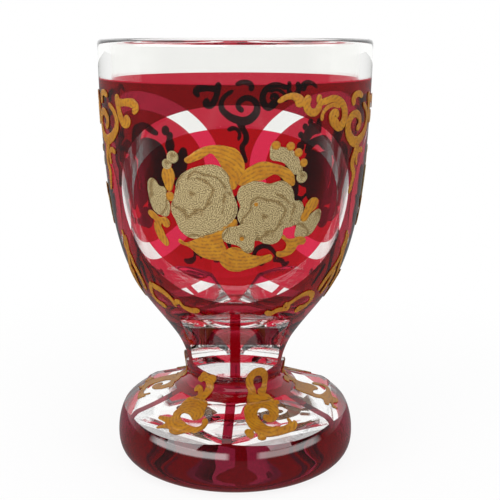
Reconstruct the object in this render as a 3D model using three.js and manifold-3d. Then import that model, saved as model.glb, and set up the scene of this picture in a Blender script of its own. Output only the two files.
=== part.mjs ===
// A stemmed drinking goblet of thick clear glass under a thin layer of ruby glass.
// The ruby is cut through to the clear glass in the frames of three ovals on the bowl, three
// broad windows on the stem and six panels on the foot. Raised gold and grey enamel lies on top.
// Millimetres, +Z up, origin under the middle of the foot. The first oval faces -Y.

import * as THREE from 'three';
import { mergeVertices } from 'three/addons/utils/BufferGeometryUtils.js';
import Module from 'manifold-3d';

const wasm = await Module();
wasm.setup();

// Outside of the whole goblet
const RIM_HEIGHT = 150;
const RIM_RADIUS = 46.9;
const BOWL_JOINT_HEIGHT = 46;
const BOWL_JOINT_RADIUS = 21.5;
const BOWL_BELLY_RISE = 19.5;
const NECK_HEIGHT = 30.4;
const NECK_RADIUS = 17.7;
const SHOULDER_HEIGHT = 21;
const SHOULDER_RADIUS = 37.5;
const FOOT_RADIUS = 43.4;
const FOOT_WIDEST_HEIGHT = 8.5;
const BASE_RADIUS = 36.5;

// Walls and layers
const WALL = 4.3;
const LIP_ROUND = 1.7;
const CAVITY_SWEEP = 0.2;
const CAVITY_SPREAD = 0.7;
const FLOOR_THICKNESS = 7;
const JOINT_GROOVE = 0.5;
const BASE_HOLLOW_RADIUS = 25;
const BASE_HOLLOW_DEPTH = 2.4;
const RUBY = 0.4;
const LAYER_GAP = 0.2;
const ENAMEL = 0.6;
const CLEAR_BAND = 13;
const STEP_GAP = 0.3;

// Framed ovals on the bowl
const OVAL_TURNS = [0, 116, 244];
const OVAL_SIDE_GAP = 1;
const OVAL_TOP_GAP = 6;
const OVAL_BOTTOM_GAP = 4.4;
const FRAME_WIDTH = 6.8;
const FRAME_DEPTH = 0.8;

// Broad windows on the stem
const WINDOW_TURNS = [0, 120, 240];
const WINDOW_DEPTH_RADIUS = 10.6;
const WINDOW_SILL_RISE = 3.3;
const WINDOW_SHOULDER_RADIUS = 22.3;
const WINDOW_SHOULDER_RISE = 10.4;
const WINDOW_EAVES_RISE = 15.8;
const WINDOW_BAR = 3.7;

// Panels on the foot
const PANELS = 6;
const PANEL_TURN = -4;
const PANEL_TOP_DROP = 4.4;
const PANEL_EXIT_DROP = 0.28;
const RIB_WIDTH = 3.2;

// Facets
const ROUND_FACETS = 36;
const OVAL_FACETS = 28;

const SKIN = RUBY + LAYER_GAP;
const FAR = 70;
const radians = THREE.MathUtils.degToRad;
const { lerp, mapLinear } = THREE.MathUtils;

// Solids and meshes

function solidOf(geometry) {
  const bare = geometry.clone();
  bare.deleteAttribute('normal');
  bare.deleteAttribute('uv');
  const merged = mergeVertices(bare, 1e-4);
  const mesh = new wasm.Mesh({
    numProp: 3,
    vertProperties: new Float32Array(merged.attributes.position.array),
    triVerts: new Uint32Array(merged.index.array),
  });
  mesh.merge();
  return new wasm.Manifold(mesh);
}

function geometryOf(solid) {
  const mesh = solid.getMesh();
  const geometry = new THREE.BufferGeometry();
  geometry.setAttribute('position', new THREE.BufferAttribute(mesh.vertProperties, 3));
  geometry.setIndex(new THREE.BufferAttribute(mesh.triVerts, 1));
  geometry.computeVertexNormals();
  return geometry;
}

function unionOf(solids) {
  return solids.reduce((whole, next) => whole.add(next));
}

function point(radius, height) {
  return new THREE.Vector2(radius, height);
}

function bezier(start, startPull, endPull, end, steps) {
  return new THREE.CubicBezierCurve(start, startPull, endPull, end).getPoints(steps);
}

function revolve(profile) {
  return solidOf(new THREE.LatheGeometry(profile, ROUND_FACETS).rotateX(Math.PI / 2));
}

// A section drawn as radius and height, carried sideways across the direction that turn faces
function carry(section, width, turn) {
  const geometry = new THREE.ExtrudeGeometry(new THREE.Shape(section), {
    depth: width,
    bevelEnabled: false,
  });
  geometry.translate(0, 0, -width / 2);
  geometry.applyMatrix4(new THREE.Matrix4().makeBasis(
    new THREE.Vector3(0, -1, 0),
    new THREE.Vector3(0, 0, 1),
    new THREE.Vector3(-1, 0, 0),
  ));
  return solidOf(geometry.rotateZ(radians(turn)));
}

// An outline drawn as sideways and height, pushed out along the direction that turn faces
function pushOut(drawn, turn, height = 0) {
  const geometry = new THREE.ExtrudeGeometry(new THREE.Shape(drawn), {
    depth: FAR,
    bevelEnabled: false,
  });
  geometry.rotateX(Math.PI / 2);
  geometry.translate(0, 0, height);
  return solidOf(geometry.rotateZ(radians(turn)));
}

// An outline drawn as sideways and distance from the axis, pushed straight up
function pushUp(drawn, turn) {
  const placed = drawn.map((spot) => point(spot.x, -spot.y));
  const geometry = new THREE.ExtrudeGeometry(new THREE.Shape(placed), {
    depth: FAR,
    bevelEnabled: false,
  });
  return solidOf(geometry.rotateZ(radians(turn)));
}

function slab(low, high) {
  const geometry = new THREE.CylinderGeometry(FAR, FAR, high - low, ROUND_FACETS);
  geometry.rotateX(Math.PI / 2);
  geometry.translate(0, 0, (low + high) / 2);
  return solidOf(geometry);
}

// Moves a profile that runs upwards towards the axis, square to its own line
function inset(profile, depth) {
  return profile.map((spot, index) => {
    const before = profile[Math.max(index - 1, 0)];
    const after = profile[Math.min(index + 1, profile.length - 1)];
    const along = after.clone().sub(before).normalize();
    return point(spot.x - along.y * depth, spot.y + along.x * depth);
  });
}

// Profiles

const baseCurve = bezier(
  point(BASE_RADIUS, 0),
  point(lerp(BASE_RADIUS, FOOT_RADIUS, 0.8), FOOT_WIDEST_HEIGHT * 0.1),
  point(FOOT_RADIUS, FOOT_WIDEST_HEIGHT * 0.47),
  point(FOOT_RADIUS, FOOT_WIDEST_HEIGHT),
  3,
);
const shoulderCurve = bezier(
  point(FOOT_RADIUS, FOOT_WIDEST_HEIGHT),
  point(FOOT_RADIUS, lerp(FOOT_WIDEST_HEIGHT, SHOULDER_HEIGHT, 0.44)),
  point(lerp(SHOULDER_RADIUS, FOOT_RADIUS, 0.7), lerp(FOOT_WIDEST_HEIGHT, SHOULDER_HEIGHT, 0.95)),
  point(SHOULDER_RADIUS, SHOULDER_HEIGHT),
  3,
);
const flareCurve = bezier(
  point(SHOULDER_RADIUS, SHOULDER_HEIGHT),
  point(lerp(SHOULDER_RADIUS, NECK_RADIUS, 0.5), lerp(SHOULDER_HEIGHT, NECK_HEIGHT, 0.27)),
  point(NECK_RADIUS, lerp(SHOULDER_HEIGHT, NECK_HEIGHT, 0.65)),
  point(NECK_RADIUS, NECK_HEIGHT),
  4,
);
const stemCurve = bezier(
  point(NECK_RADIUS, NECK_HEIGHT),
  point(NECK_RADIUS, lerp(NECK_HEIGHT, BOWL_JOINT_HEIGHT, 0.15)),
  point(lerp(NECK_RADIUS, BOWL_JOINT_RADIUS, 0.21), lerp(NECK_HEIGHT, BOWL_JOINT_HEIGHT, 0.66)),
  point(BOWL_JOINT_RADIUS, BOWL_JOINT_HEIGHT),
  3,
);
const bowlCurve = bezier(
  point(BOWL_JOINT_RADIUS, BOWL_JOINT_HEIGHT),
  point(lerp(BOWL_JOINT_RADIUS, RIM_RADIUS, 0.555), lerp(BOWL_JOINT_HEIGHT, RIM_HEIGHT, 0.207)),
  point(lerp(BOWL_JOINT_RADIUS, RIM_RADIUS, 0.985), BOWL_JOINT_HEIGHT + BOWL_BELLY_RISE),
  point(RIM_RADIUS, RIM_HEIGHT),
  8,
);
const outline = [
  ...baseCurve,
  ...shoulderCurve.slice(1),
  ...flareCurve.slice(1),
  ...stemCurve.slice(1),
  ...bowlCurve.slice(1),
];
const rubyTop = RIM_HEIGHT - CLEAR_BAND;
const cavityFloor = BOWL_JOINT_HEIGHT + FLOOR_THICKNESS;

const glassLine = inset(outline, SKIN);

// Where a line that runs upwards passes a height
function spotAt(line, height) {
  const above = Math.max(line.findIndex((spot) => spot.y >= height), 1);
  const high = line[above];
  const low = line[above - 1];
  return point(mapLinear(height, low.y, high.y, low.x, high.x), height);
}

// A shell between two depths under the outline, over part of its height
function shell(low, high, outerDepth, innerDepth) {
  const stretch = outline.slice(1);
  const ring = [...inset(stretch, outerDepth), ...inset(stretch, innerDepth).reverse()];
  return revolve([...ring, ring[0]]).intersect(slab(low, high));
}

// Clear glass, revolved in one piece and then parted at its two hot joints

function glassBlank() {
  const under = glassLine.slice(1).filter((spot) => spot.y < rubyTop);
  const band = outline.filter((spot) => spot.y > rubyTop + 1 && spot.y < RIM_HEIGHT - LIP_ROUND - 1);
  const innerRadius = RIM_RADIUS - WALL;
  const lipOut = new THREE.EllipseCurve(
    RIM_RADIUS - LIP_ROUND, RIM_HEIGHT - LIP_ROUND, LIP_ROUND, LIP_ROUND, 0, Math.PI / 2,
  );
  const lipIn = new THREE.EllipseCurve(
    innerRadius + LIP_ROUND, RIM_HEIGHT - LIP_ROUND, LIP_ROUND, LIP_ROUND, Math.PI / 2, Math.PI,
  );
  const cavity = bezier(
    point(innerRadius, RIM_HEIGHT - LIP_ROUND),
    point(innerRadius, lerp(cavityFloor, RIM_HEIGHT, CAVITY_SWEEP)),
    point(innerRadius * CAVITY_SPREAD, cavityFloor),
    point(0, cavityFloor),
    6,
  );
  const hollow = bezier(
    point(0, BASE_HOLLOW_DEPTH),
    point(BASE_HOLLOW_RADIUS / 3, BASE_HOLLOW_DEPTH),
    point(BASE_HOLLOW_RADIUS * 2 / 3, BASE_HOLLOW_DEPTH / 2),
    point(BASE_HOLLOW_RADIUS, 0),
    4,
  );
  return revolve([
    ...hollow,
    point(BASE_RADIUS, 0),
    ...under,
    spotAt(glassLine, rubyTop + STEP_GAP),
    spotAt(outline, rubyTop + STEP_GAP),
    ...band,
    ...lipOut.getPoints(3),
    ...lipIn.getPoints(3),
    ...cavity.slice(1),
  ]);
}

// Ovals. Reach runs from 0 at the middle to 1 at the face's edge and 2 at the frame's edge.

const ovalBottom = BOWL_JOINT_HEIGHT + WINDOW_EAVES_RISE + OVAL_BOTTOM_GAP;
const ovalTop = rubyTop - OVAL_TOP_GAP;
const ovalHeight = (ovalBottom + ovalTop) / 2;
const faceHalfHeight = (ovalTop - ovalBottom) / 2 - FRAME_WIDTH;
const ovalRadius = spotAt(outline, ovalHeight).x;
const faceHalfWidth = radians(OVAL_TURNS[1] / 2) * ovalRadius - OVAL_SIDE_GAP - FRAME_WIDTH;

function ovalSpot(reach, around, lift, turn) {
  const inner = Math.min(reach, 1);
  const outer = Math.max(reach - 1, 0) * FRAME_WIDTH;
  const sideways = (faceHalfWidth * inner + outer) * Math.sin(around);
  const height = ovalHeight - (faceHalfHeight * inner + outer) * Math.cos(around);
  const angle = radians(turn) + sideways / ovalRadius;
  const radius = spotAt(outline, height).x + lift;
  return new THREE.Vector3(radius * Math.sin(angle), -radius * Math.cos(angle), height);
}

function ovalSolid(section, turn) {
  const geometry = new THREE.LatheGeometry(section, OVAL_FACETS);
  const spots = geometry.attributes.position;
  for (let index = 0; index < spots.count; index += 1) {
    const across = spots.getX(index);
    const down = spots.getZ(index);
    const spot = ovalSpot(Math.hypot(across, down), Math.atan2(across, down), spots.getY(index), turn);
    spots.setXYZ(index, spot.x, spot.y, spot.z);
  }
  return solidOf(geometry);
}

// A block through the wall, with straight sides at the given reach
function ovalBlock(reach, turn) {
  const reaches = [0, 0.25, 0.5, 0.75, 1].map((share) => share * reach);
  const under = reaches.map((step) => point(step, -WALL / 2));
  const over = reaches.map((step) => point(step, WALL / 2)).reverse();
  return ovalSolid([...under, ...over], turn);
}

// The frame round a face, ground a little way into the clear glass
function frameCutter(turn) {
  const ground = [point(1, -FRAME_DEPTH), point(1.5, -FRAME_DEPTH), point(2, -FRAME_DEPTH)];
  const above = [point(2, WALL / 2), point(1, WALL / 2)];
  return ovalSolid([...ground, ...above, ground[0]], turn);
}

function ovalLayer(outerLift, innerLift, reach) {
  return shell(BOWL_JOINT_HEIGHT, rubyTop, -outerLift, -innerLift).intersect(ovalBlock(reach, 0));
}

// Broad windows, ground across the stem under each oval

const windowSill = NECK_HEIGHT + WINDOW_SILL_RISE;
const windowTop = BOWL_JOINT_HEIGHT + WINDOW_SHOULDER_RISE;
const windowLine = [
  spotAt(glassLine, windowSill),
  ...bezier(
    point(WINDOW_DEPTH_RADIUS, windowSill + 2.8),
    point(WINDOW_DEPTH_RADIUS, windowSill + 9),
    point(WINDOW_SHOULDER_RADIUS - 5.3, windowTop - 6.4),
    point(WINDOW_SHOULDER_RADIUS, windowTop),
    4,
  ),
  spotAt(glassLine, BOWL_JOINT_HEIGHT + WINDOW_EAVES_RISE),
];

// The line that the sloping shoulder over a window follows, to well outside the goblet
function shoulderLine(lift) {
  const [shoulder, eaves] = windowLine.slice(-2);
  const beyond = eaves.clone().sub(shoulder).setLength(FAR / 2).add(eaves);
  return inset([shoulder, beyond], -lift);
}

function windowCutter(turn, shoulderLift) {
  const [low, beyond] = shoulderLine(shoulderLift);
  const section = [point(beyond.x, windowSill - 1), ...windowLine.slice(0, -1), low, beyond];
  return carry(shoulderLift ? section : section.filter((spot) => spot !== low), FAR, turn);
}

// The ruby layer left on the shoulder
function windowBrow(turn) {
  const inside = revolve([...outline.slice(1), point(0, RIM_HEIGHT), point(0, outline[1].y), outline[1]]);
  return carry([...shoulderLine(LAYER_GAP), ...shoulderLine(SKIN).reverse()], FAR, turn).intersect(inside);
}

// The ruby bar left standing up the middle of a window
function windowBar(turn) {
  const line = [
    spotAt(glassLine, windowSill - 1),
    ...windowLine,
    spotAt(glassLine, BOWL_JOINT_HEIGHT + WINDOW_EAVES_RISE + 1),
  ];
  const near = inset(line, -LAYER_GAP);
  const far = inset(line, -SKIN).reverse();
  return carry([...near, ...far], WINDOW_BAR, turn);
}

// Panels, ground flat across the foot between its ribs

const panelHalfAngle = Math.PI / PANELS;
const panelTop = NECK_HEIGHT - PANEL_TOP_DROP;
const panelLine = [
  ...flareCurve.filter((spot) => spot.y < panelTop),
  spotAt(outline, panelTop),
].map((spot) => point(
  spot.x * Math.cos(panelHalfAngle) + RIB_WIDTH / 2 * Math.sin(panelHalfAngle),
  spot.y,
));
const panelFoot = point(
  FOOT_RADIUS + 5,
  SHOULDER_HEIGHT - (FOOT_RADIUS + 5 - panelLine[0].x) * PANEL_EXIT_DROP,
);

function panelCutter(turn) {
  const section = [
    panelFoot,
    point(FAR, panelFoot.y),
    point(FAR, panelTop),
    ...[...panelLine].reverse(),
  ];
  return carry(section, FAR, turn);
}

const betweenTurns = OVAL_TURNS.map((turn, index) => (turn + (OVAL_TURNS[index + 1] ?? 360)) / 2);
const panelTurns = Array.from(
  { length: PANELS },
  (unused, index) => PANEL_TURN + (index + 0.5) * 360 / PANELS,
);
const windowCuts = unionOf(WINDOW_TURNS.map((turn) => windowCutter(turn, 0)));
const rubyWindowCuts = unionOf(WINDOW_TURNS.map((turn) => windowCutter(turn, SKIN)));
const panelCuts = unionOf(panelTurns.map(panelCutter));

// Enamel outlines

function rounded(spots) {
  const corners = spots.map(([across, up]) => new THREE.Vector3(across, up, 0));
  const steps = spots.length * 2;
  const curve = new THREE.CatmullRomCurve3(corners, true);
  return curve.getPoints(steps).slice(0, steps).map((spot) => point(spot.x, spot.y));
}

function disc(across, up, radius) {
  const curve = new THREE.EllipseCurve(across, up, radius, radius, 0, Math.PI * 2);
  return curve.getPoints(8).slice(0, 8);
}

// A brush stroke along a line of spots, widest in its middle
function stroke(spots, width) {
  const line = new THREE.CatmullRomCurve3(spots.map(([across, up]) => new THREE.Vector3(across, up, 0)));
  const steps = Math.round(spots.length * 1.6);
  const sides = [[], []];
  for (let step = 0; step <= steps; step += 1) {
    const share = step / steps;
    const middle = line.getPoint(share);
    const along = line.getTangent(share);
    const half = width / 2 * (0.45 + 0.55 * Math.sin(Math.PI * share));
    sides[0].push(point(middle.x - along.y * half, middle.y + along.x * half));
    sides[1].unshift(point(middle.x + along.y * half, middle.y - along.x * half));
  }
  return [...sides[1], ...sides[0]].reverse();
}

// Bouquet on an oval's face: sideways and height from the middle of the oval, drawn for a face
// as big as DRAWN_FACE and scaled to the real one

const DRAWN_FACE = point(36.8, 25.6);
const leftPetals = [
  [-20.6, -0.5], [-19.1, 4.6], [-17.2, 10], [-14, 12.6], [-9.6, 14.2], [-6, 14.2],
  [-2.6, 12.4], [-1.1, 6.6], [0.3, 0], [-2.8, -5], [-9, -8.2], [-13.4, -9.4], [-17.4, -7.4],
];
const rightPetals = [
  [1.5, 5], [3, 8.4], [7.8, 9], [14.6, 9], [18, 5.6], [18.8, 2.6], [21.6, 1.4],
  [21.4, -4], [16.2, -6], [14.8, -9.6], [10.4, -11.2], [6.4, -10], [5.6, -13.2], [2, -12.2],
  [-3.6, -9.4], [-2.4, -6.2], [1, -4.8], [2, -1],
];
const bouquet = [
  { name: 'left_flower', finish: 'grey', shapes: [rounded(leftPetals)] },
  { name: 'right_flower', finish: 'grey', shapes: [rounded(rightPetals)] },
  {
    name: 'upper_left_leaf',
    finish: 'gold',
    shapes: [rounded([
      [-15.2, 15.3], [-12, 18.4], [-7.7, 20.1], [-2, 19.9], [1.6, 17.4], [2.6, 12.5],
      [-0.4, 7.2], [-1.6, 9.6], [-3.4, 14], [-6.6, 17.6], [-10.6, 16],
    ])],
  },
  {
    name: 'upper_right_leaf',
    finish: 'gold',
    shapes: [rounded([
      [1.6, 8.6], [3.6, 13.2], [8, 15.2], [13.2, 14.2], [17.4, 11.7], [18.3, 7.6],
      [14.6, 9.9], [10.6, 11], [6, 9.6],
    ])],
  },
  {
    name: 'lower_leaves',
    finish: 'gold',
    shapes: [
      rounded([
        [-18.9, -10.3], [-14, -10.2], [-9, -7], [-3.4, -5.6], [-3.9, -9.7], [-3, -13],
        [-4.6, -16.1], [-10, -15.9], [-15.1, -12.6],
      ]),
      rounded([
        [-5.4, -15.7], [-2.6, -12.2], [1.4, -12.2], [6, -14.8], [12.5, -15.5],
        [6.4, -18.8], [0.4, -20.2], [-4, -19],
      ]),
    ],
  },
  {
    name: 'left_spray',
    finish: 'grey',
    shapes: [
      disc(-20, 15.8, 2.1),
      rounded([[-22, 14.6], [-19.4, 14], [-18.9, 10.6], [-20.6, 3.6], [-23, 10.6]]),
      rounded([[-28.8, 5], [-27, 9], [-22, 6.6], [-21.4, 0.6], [-23.4, -4.6], [-28.2, -0.8]]),
      rounded([[-29.8, -2.1], [-21.8, -4.2], [-24.1, -7.4], [-23.3, -12.6], [-27.6, -7.6]]),
    ],
  },
  {
    name: 'upper_right_spray',
    finish: 'grey',
    shapes: [
      rounded([[10.6, 17], [12.4, 20.2], [17, 18.6], [20.8, 13], [18.4, 11], [14.8, 14.7]]),
      disc(12, 20.4, 1.4),
      disc(16.6, 19.6, 1.4),
      disc(19.4, 17, 1.4),
      disc(21, 14.2, 1.3),
      disc(20.6, 10.3, 1.8),
    ],
  },
  {
    name: 'right_spray',
    finish: 'grey',
    shapes: [
      stroke([[22.2, -5.4], [24, -0.6], [26.8, 2.4]], 2.6),
      rounded([[21, -5], [28.8, -1.4], [28.1, -6.5], [23.6, -10.2], [20.4, -9.6]]),
      rounded([[15.5, -10.2], [20, -9.6], [24.4, -11], [20.3, -14], [13.8, -14.8], [17, -12.2]]),
    ],
  },
];

// Scrolls between two ovals: sideways from the line midway, and share of the height from the
// bowl's joint to the clear band's edge

const DRAWN_FROM = 46;
const DRAWN_TO = 137;
const DRAWN_RADIUS = 44.1;
const scrolls = [
  { name: 'upper_left_scroll', width: 2.6, spots: [
    [-29.2, 132.6], [-25.7, 131.8], [-22.9, 128.9], [-20.1, 130.6], [-16.1, 132.4],
    [-11.7, 130.4], [-11.3, 125.6], [-15.1, 123.2], [-17.3, 126.8],
  ] },
  { name: 'middle_scroll', width: 2.8, spots: [
    [-3.1, 123], [-6.1, 119.6], [-2.7, 116.6], [2.3, 119.4], [2.6, 124.6],
    [-2.4, 128.4], [-7, 126.4], [-9.6, 120], [-5.5, 112.6], [-2.9, 106],
  ] },
  { name: 'upper_right_scroll', width: 2.6, spots: [
    [5.4, 131.8], [9.7, 130.8], [15.3, 132.2], [14.5, 127.4], [9.6, 125], [6.9, 127.6],
  ] },
  { name: 'lower_left_scroll', width: 2.4, spots: [
    [-2.4, 84.6], [-4.6, 79.6], [-3, 74.6], [-6.4, 70.2], [-11.6, 69], [-15.4, 66.4], [-21, 64.4],
  ] },
  { name: 'lower_right_scroll', width: 2.4, spots: [
    [2.2, 86.4], [4, 81.2], [2.2, 75.8], [5.4, 71.6], [10.4, 68.4], [14.6, 67], [20.4, 64.2],
  ] },
];

// Scroll on a foot panel: sideways and distance from the axis
const footScroll = { width: 2.4, spots: [
  [-7.6, 32.6], [-10.4, 35.8], [-6.4, 38.6], [-0.6, 36.6], [3.4, 31.4],
  [1.6, 26.2], [-2, 25.2], [-2.6, 28.4],
] };

// Enamel laid on a surface: the outlines pushed through a thin layer of that surface.
// Every piece is made facing -Y and is turned to its place afterwards.

function onFace(drawn) {
  return pushOut(drawn.map((spot) => point(
    spot.x * faceHalfWidth / DRAWN_FACE.x,
    spot.y * faceHalfHeight / DRAWN_FACE.y,
  )), 0, ovalHeight);
}

function enamelOnFace(shapes, taken) {
  const layer = ovalLayer(LAYER_GAP + ENAMEL, LAYER_GAP, 0.97);
  const pattern = unionOf(shapes.map(onFace));
  return taken ? layer.intersect(pattern.subtract(taken)) : layer.intersect(pattern);
}

function enamelOnBowl(spots, width) {
  const layer = shell(BOWL_JOINT_HEIGHT, rubyTop, -LAYER_GAP - ENAMEL, -LAYER_GAP);
  const drawn = stroke(spots, width).map((spot) => point(
    spot.x * ovalRadius / DRAWN_RADIUS,
    mapLinear(spot.y, DRAWN_FROM, DRAWN_TO, BOWL_JOINT_HEIGHT, rubyTop),
  ));
  return layer.intersect(pushOut(drawn, 0));
}

function enamelOnPanel() {
  const line = [panelFoot, ...panelLine];
  const over = inset(line, -LAYER_GAP - ENAMEL).reverse();
  const layer = carry([...inset(line, -LAYER_GAP), ...over], FAR, 0);
  const pattern = pushUp(stroke(footScroll.spots, footScroll.width), 0);
  return layer.intersect(pattern);
}

// An outline moved outwards, square to its own line
function grown(drawn, by) {
  return drawn.map((spot, index) => {
    const before = drawn[(index + drawn.length - 1) % drawn.length];
    const after = drawn[(index + 1) % drawn.length];
    const along = after.clone().sub(before).normalize();
    const outward = THREE.ShapeUtils.isClockWise(drawn) ? 1 : -1;
    return point(spot.x - along.y * by * outward, spot.y + along.x * by * outward);
  });
}

// The room of both flowers, which the leaves and sprays beside them stop short of
function flowerRoom() {
  return unionOf([leftPetals, rightPetals].map((petals) => onFace(grown(rounded(petals), STEP_GAP))));
}

// Materials

const clearGlass = new THREE.MeshStandardMaterial({
  color: 0xeef0ec, roughness: 0.04, metalness: 0, transparent: true, opacity: 0.35,
});
const rubyGlass = new THREE.MeshStandardMaterial({ color: 0x9c1426, roughness: 0.06, metalness: 0 });
const goldEnamel = new THREE.MeshStandardMaterial({ color: 0xc9861d, roughness: 0.42, metalness: 0.2 });
const greyEnamel = new THREE.MeshStandardMaterial({ color: 0xa79a78, roughness: 0.55, metalness: 0.2 });

const goblet = new THREE.Group();

function addPiece(name, solid, material, turn = 0) {
  const mesh = new THREE.Mesh(geometryOf(solid).rotateZ(radians(turn)), material);
  mesh.name = name;
  goblet.add(mesh);
}

// Clear glass pieces

const frameCuts = unionOf(OVAL_TURNS.map(frameCutter));
const groove = revolve([
  point(NECK_RADIUS - JOINT_GROOVE, NECK_HEIGHT),
  point(NECK_RADIUS + SKIN, NECK_HEIGHT - SKIN - JOINT_GROOVE),
  point(NECK_RADIUS + SKIN, NECK_HEIGHT + SKIN + JOINT_GROOVE),
  point(NECK_RADIUS - JOINT_GROOVE, NECK_HEIGHT),
]);
const blank = glassBlank().subtract(frameCuts).subtract(windowCuts).subtract(panelCuts).subtract(groove);
addPiece('bowl', blank.intersect(slab(BOWL_JOINT_HEIGHT, RIM_HEIGHT + 1)), clearGlass);
addPiece('stem', blank.intersect(slab(NECK_HEIGHT, BOWL_JOINT_HEIGHT)), clearGlass);
addPiece('foot', blank.intersect(slab(-1, NECK_HEIGHT)), clearGlass);

// Ruby layers

const bars = unionOf(WINDOW_TURNS.flatMap((turn) => [windowBar(turn), windowBrow(turn)]));
const ovalCuts = unionOf(OVAL_TURNS.map((turn) => ovalBlock(2 + STEP_GAP / FRAME_WIDTH, turn)));
const cuts = unionOf([rubyWindowCuts, panelCuts, ovalCuts]);
const ruby = shell(0, rubyTop, 0, RUBY).subtract(cuts).add(bars).subtract(groove);
addPiece('bowl_ruby', ruby.intersect(slab(BOWL_JOINT_HEIGHT, RIM_HEIGHT)), rubyGlass);
addPiece('stem_ruby', ruby.intersect(slab(NECK_HEIGHT, BOWL_JOINT_HEIGHT)), rubyGlass);
addPiece('foot_ruby', ruby.intersect(slab(0, NECK_HEIGHT)), rubyGlass);
const face = ovalLayer(0, -RUBY, 1 - STEP_GAP / faceHalfWidth);
OVAL_TURNS.forEach((turn, index) => {
  addPiece(`oval_${index + 1}_ruby`, face, rubyGlass, turn);
});

// Enamel

const room = flowerRoom();
bouquet.forEach((motif) => {
  const relief = enamelOnFace(motif.shapes, motif.name.endsWith('flower') ? null : room);
  const material = motif.finish === 'gold' ? goldEnamel : greyEnamel;
  OVAL_TURNS.forEach((turn, index) => {
    addPiece(`oval_${index + 1}_${motif.name}`, relief, material, turn);
  });
});
scrolls.forEach((scroll) => {
  const relief = enamelOnBowl(scroll.spots, scroll.width);
  betweenTurns.forEach((turn, index) => {
    addPiece(`side_${index + 1}_${scroll.name}`, relief, goldEnamel, turn);
  });
});
const footRelief = enamelOnPanel();
panelTurns.forEach((turn, index) => {
  addPiece(`foot_scroll_${index + 1}`, footRelief, goldEnamel, turn);
});

export default goblet;
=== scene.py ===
# A goblet of clear glass cased in ruby, cut with framed ovals, windows and panels, and laid with
# raised gold and grey enamel. Lengths on the goblet are in millimetres, and those of the floor,
# the lamps and the camera in metres.

import math

import bpy
from mathutils import Matrix, Vector
from mathutils.geometry import interpolate_bezier


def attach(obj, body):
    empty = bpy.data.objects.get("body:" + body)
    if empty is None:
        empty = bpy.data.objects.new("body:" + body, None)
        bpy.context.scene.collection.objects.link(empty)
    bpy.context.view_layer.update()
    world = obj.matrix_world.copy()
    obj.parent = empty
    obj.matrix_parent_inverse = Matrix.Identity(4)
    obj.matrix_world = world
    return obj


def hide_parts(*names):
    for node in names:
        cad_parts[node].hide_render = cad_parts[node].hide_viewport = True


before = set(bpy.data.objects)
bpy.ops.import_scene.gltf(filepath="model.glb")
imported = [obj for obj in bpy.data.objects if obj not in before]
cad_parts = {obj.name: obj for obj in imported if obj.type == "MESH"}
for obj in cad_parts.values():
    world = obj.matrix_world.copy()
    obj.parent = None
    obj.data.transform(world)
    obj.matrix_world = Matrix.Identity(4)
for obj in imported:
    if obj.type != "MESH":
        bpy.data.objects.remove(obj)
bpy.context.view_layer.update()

MM = 0.001
TURNS = (0, 120, 240)
OVAL_TURNS = (0, 116, 244)
PANEL_TURNS = (26, 86, 146, 206, 266, 326)
RIM_HEIGHT = 150
BAND_HEIGHT = 137
OVAL_HEIGHT = 98.6
OVAL_ARC_RADIUS = 44.5
FACE = (36.8, 25.6)
FRAME_WIDTH = 6.8
FRAME_DEPTH = 0.6
OVAL_STEPS = 192
ROUND_STEPS = 288
CURVE_STEPS = 400
MERGE_GAP = 0.000002
GLASS_SMOOTHING = math.radians(25)
ENAMEL_SMOOTHING = math.radians(50)


# Drawing lines


def curve_points(corners, gap):
    """Points at even gaps along one curved span, given as four (radius, height) corners."""
    start, pull_out, pull_in, end = (Vector((r, 0, z)) for r, z in corners)
    dense = interpolate_bezier(start, pull_out, pull_in, end, CURVE_STEPS)
    lengths = [0.0]
    for before, after in zip(dense, dense[1:]):
        lengths.append(lengths[-1] + (after - before).length)
    steps = max(round(lengths[-1] / gap), 2)
    points = []
    at = 0
    for step in range(steps + 1):
        wanted = lengths[-1] * step / steps
        while at < len(dense) - 2 and lengths[at + 1] < wanted:
            at += 1
        share = (wanted - lengths[at]) / (lengths[at + 1] - lengths[at])
        spot = dense[at].lerp(dense[at + 1], min(max(share, 0), 1))
        points.append((spot.x, spot.z))
    return points


def join_lines(*lines):
    """One line from several that each start where the one before ends."""
    joined = list(lines[0])
    for line in lines[1:]:
        joined += line[1:]
    return joined


def radius_on(line, height):
    """How far out a (radius, height) line is at a height."""
    for (r0, z0), (r1, z1) in zip(line, line[1:]):
        if z0 <= height <= z1:
            return r0 + (r1 - r0) * (height - z0) / (z1 - z0)
    return line[-1][0]


BASE = [(36.5, 0), (42, 0.8), (43.4, 4), (43.4, 8.5)]
SHOULDER = [(43.4, 8.5), (43.4, 14), (41.6, 20.4), (37.5, 21)]
FLARE = [(37.5, 21), (27.6, 23.5), (17.7, 27.1), (17.7, 30.4)]
STEM = [(17.7, 30.4), (17.7, 32.7), (18.5, 40.7), (21.5, 46)]
BOWL = [(21.5, 46), (35.6, 67.5), (46.5, 65.5), (46.9, 150)]
flare_line = curve_points(FLARE, 0.8)
foot_line = join_lines(curve_points(BASE, 1), curve_points(SHOULDER, 1), flare_line)
stem_line = curve_points(STEM, 0.8)
groove_line = [(17.72, 29.7), (17.0, 30.25), (17.0, 30.5), (17.7, 31.05)]
bowl_line = curve_points(BOWL, 0.8)
outer_line = join_lines(foot_line, stem_line, bowl_line)


# Shaping helpers


def deselect():
    if bpy.context.object and bpy.context.object.mode != "OBJECT":
        bpy.ops.object.mode_set(mode="OBJECT")
    bpy.ops.object.select_all(action="DESELECT")


def only(piece):
    deselect()
    piece.select_set(True)
    bpy.context.view_layer.objects.active = piece


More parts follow.
